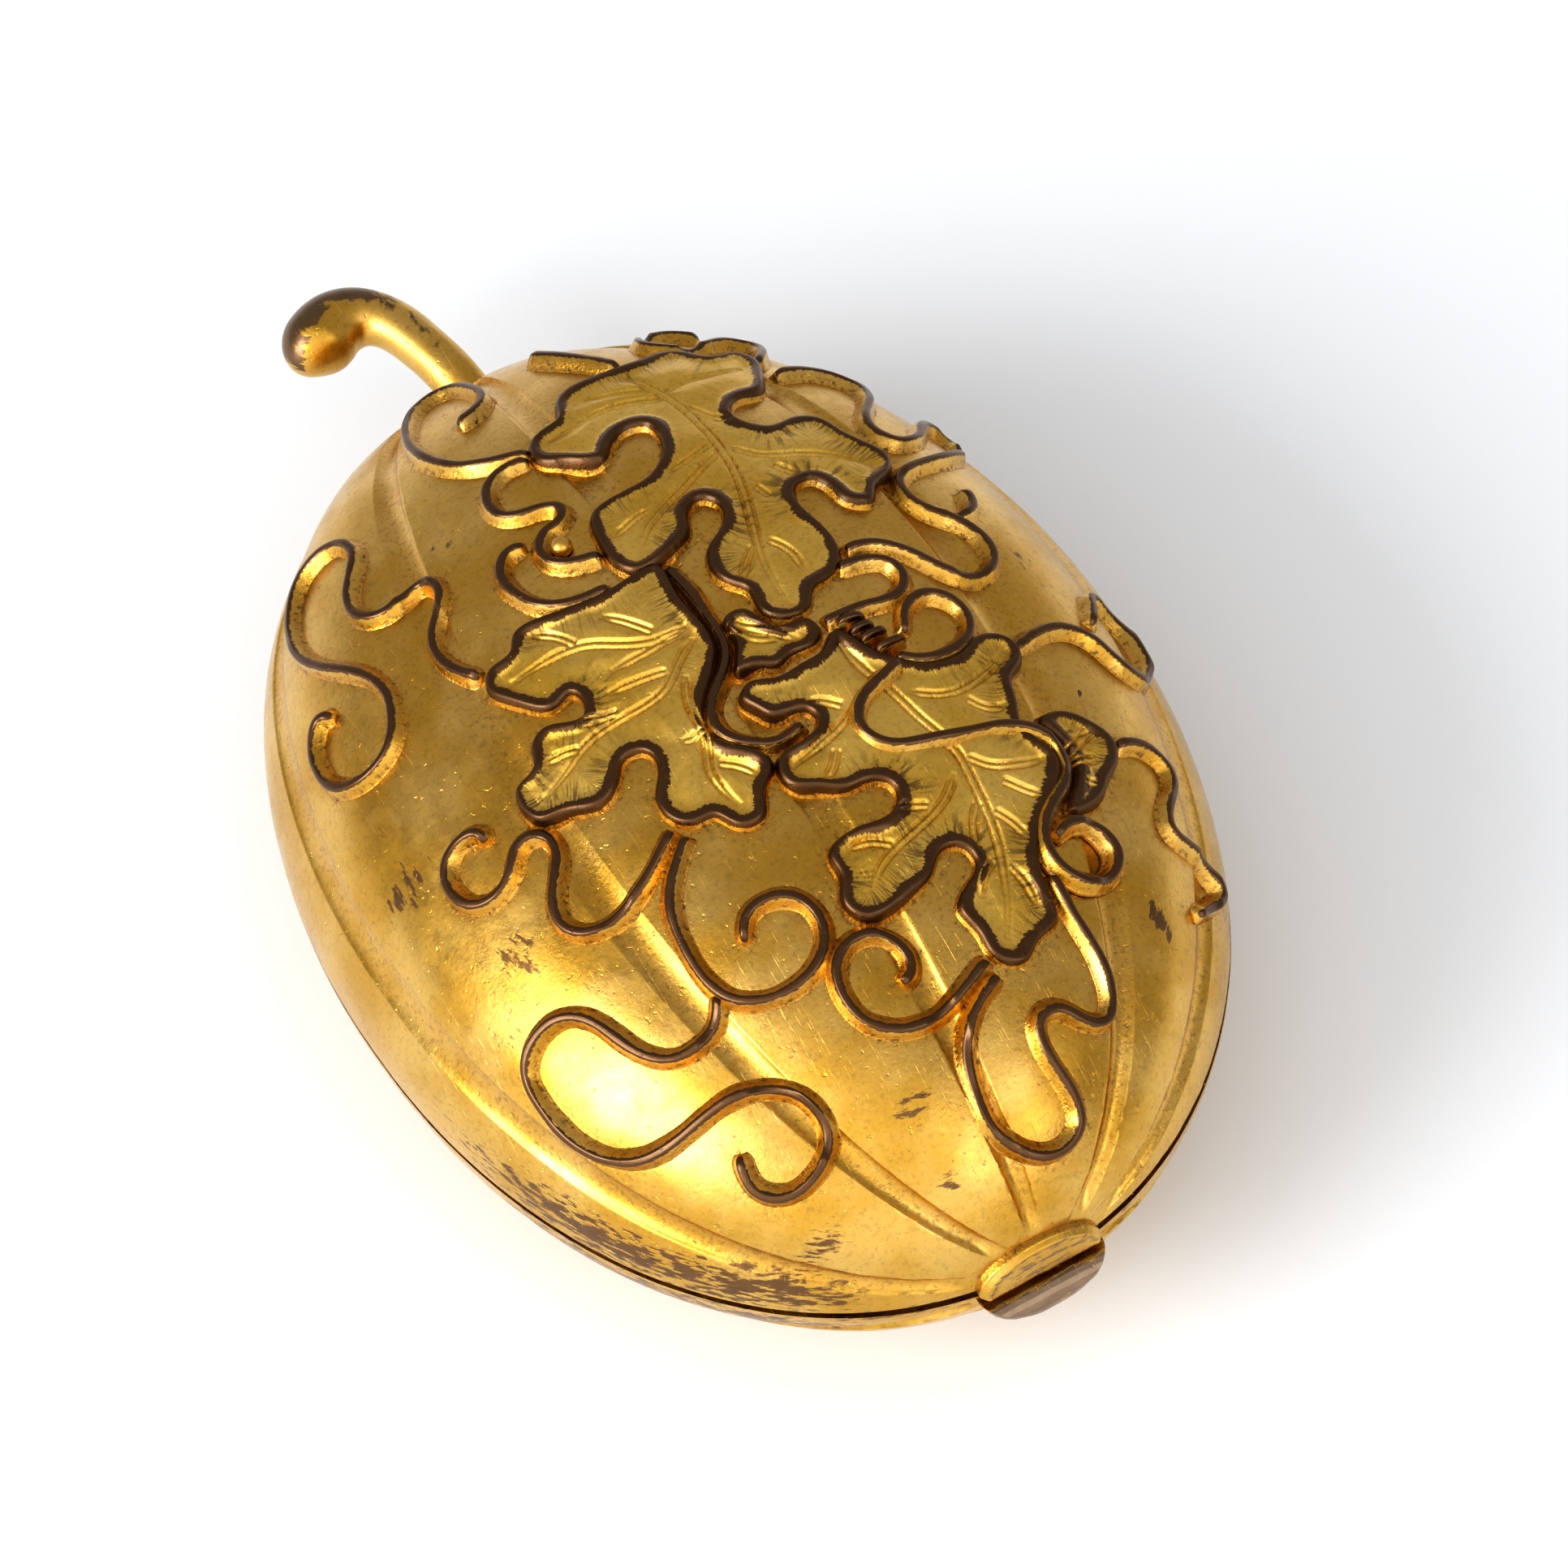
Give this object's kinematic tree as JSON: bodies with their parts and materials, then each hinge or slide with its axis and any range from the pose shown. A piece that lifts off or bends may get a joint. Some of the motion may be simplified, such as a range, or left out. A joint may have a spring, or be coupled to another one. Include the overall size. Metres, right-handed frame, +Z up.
{
  "type": "needle case",
  "caption": "Melon-shaped hinged case for sewing needles: a fluted two-part metal shell with applied vine leaves and tendrils, a blossom boss and a curled stem.",
  "frame": {"origin": "middle of the flat foot under the base, on the surface it stands on", "axes": "+Y from the blossom boss at the front to the stem at the back, +Z up, +X to the right seen from the front"},
  "size_m": [0.058, 0.097, 0.0351],
  "materials": {
    "gilt_shell": "fire gilt, satin, worn on the high places",
    "gilt_leaf": "gilt, chased, brown worn rims",
    "gilt_wire": "gilt, worn brown along the top",
    "worn_brass": "gilding mostly worn to brown base metal",
    "inner_brass": "satin gilt, little worn",
    "hinge_brass": "worn gilt"
  },
  "bodies": {
    "base": {"base_shell": "gilt_shell", "base_bezel": "inner_brass", "hinge_base_leaf": "hinge_brass", "hinge_pin": "hinge_brass", "stem": "worn_brass", "boss_lower": "worn_brass", "catch_tongue": "inner_brass"},
    "lid": {"lid_shell": "gilt_shell", "hinge_lid_leaf": "hinge_brass", "boss_upper": "worn_brass", "catch_lug": "inner_brass", "bead_crook": "gilt_wire", "leaf_left": "gilt_leaf", "leaf_lower": "gilt_leaf", "leaf_side": "gilt_leaf", "leaf_small": "gilt_leaf", "leaf_upper": "gilt_leaf", "stalk_binding": "gilt_wire", "tendril_back_curl": "gilt_wire", "tendril_back_loop": "gilt_wire", "tendril_centre_spiral": "gilt_wire", "tendril_cradle": "gilt_wire", "tendril_crook": "gilt_wire", "tendril_front_curl": "gilt_wire", "tendril_front_loop": "gilt_wire", "tendril_front_sweep": "gilt_wire", "tendril_knot_loop": "gilt_wire", "tendril_leaf_crossing": "gilt_wire", "tendril_left_long": "gilt_wire", "tendril_left_short": "gilt_wire", "tendril_mid_vine": "gilt_wire", "tendril_right_hook": "gilt_wire", "tendril_right_sweep": "gilt_wire", "tendril_right_wave": "gilt_wire", "tendril_side_bud": "gilt_wire", "tendril_stem_curl": "gilt_wire", "tendril_wrap_loop": "gilt_wire", "vine_stalk": "gilt_wire"}
  },
  "joints": [
    {"name": "lid_hinge", "type": "hinge", "parent": "base", "child": "lid", "pos_m": [0, 0.0398, 0.0149], "axis": [-1, 0, 0], "range_deg": [0, 75]}
  ]
}
